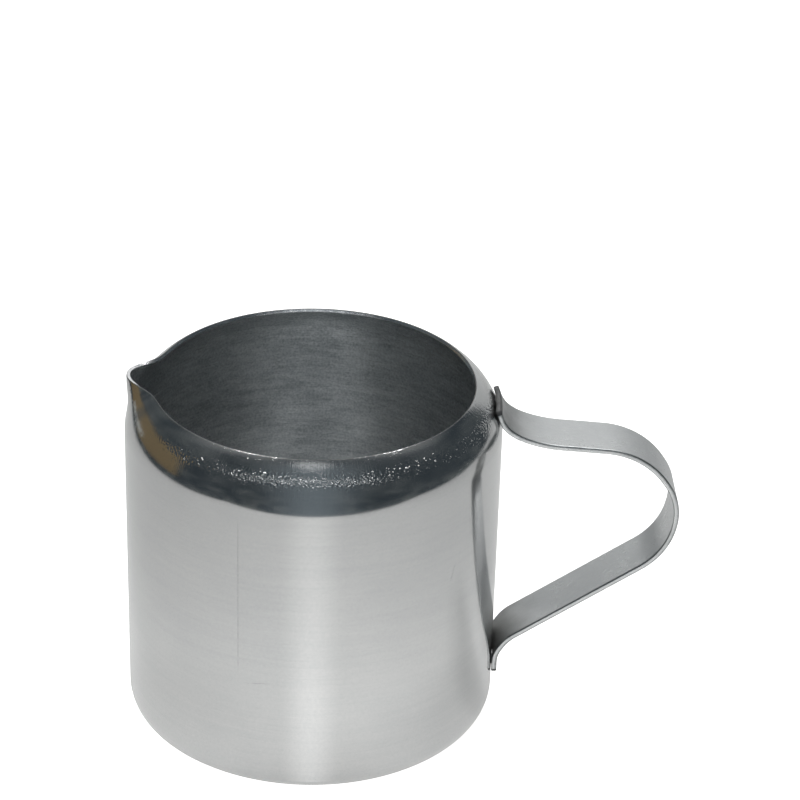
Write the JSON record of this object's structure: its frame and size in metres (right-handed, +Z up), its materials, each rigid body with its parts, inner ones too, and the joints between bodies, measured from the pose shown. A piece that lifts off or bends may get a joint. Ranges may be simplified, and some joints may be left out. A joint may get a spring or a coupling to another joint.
{
  "type": "cream jug",
  "caption": "Small straight-sided stainless steel cream jug with a turned-in shoulder, a pressed pouring lip and a bent strap handle.",
  "frame": {"origin": "centre of the flat base, on the body's axis", "axes": "+Z up along the body's axis towards the mouth, +X towards the handle, the pouring lip towards -X"},
  "size_m": [0.0918, 0.062, 0.0601],
  "materials": {
    "body_steel": "polished stainless steel with fine circumferential brushing, glossier on the shoulder",
    "strap_steel": "satin stainless steel strip with a fine lengthwise grain and bright cut edges",
    "weld_steel": "dull grey fused steel"
  },
  "bodies": {
    "root": {"jug_body": "body_steel", "handle_strap": "strap_steel", "spot_weld_upper_left": "weld_steel", "spot_weld_upper_right": "weld_steel", "spot_weld_lower_left": "weld_steel", "spot_weld_lower_right": "weld_steel"}
  },
  "joints": []
}
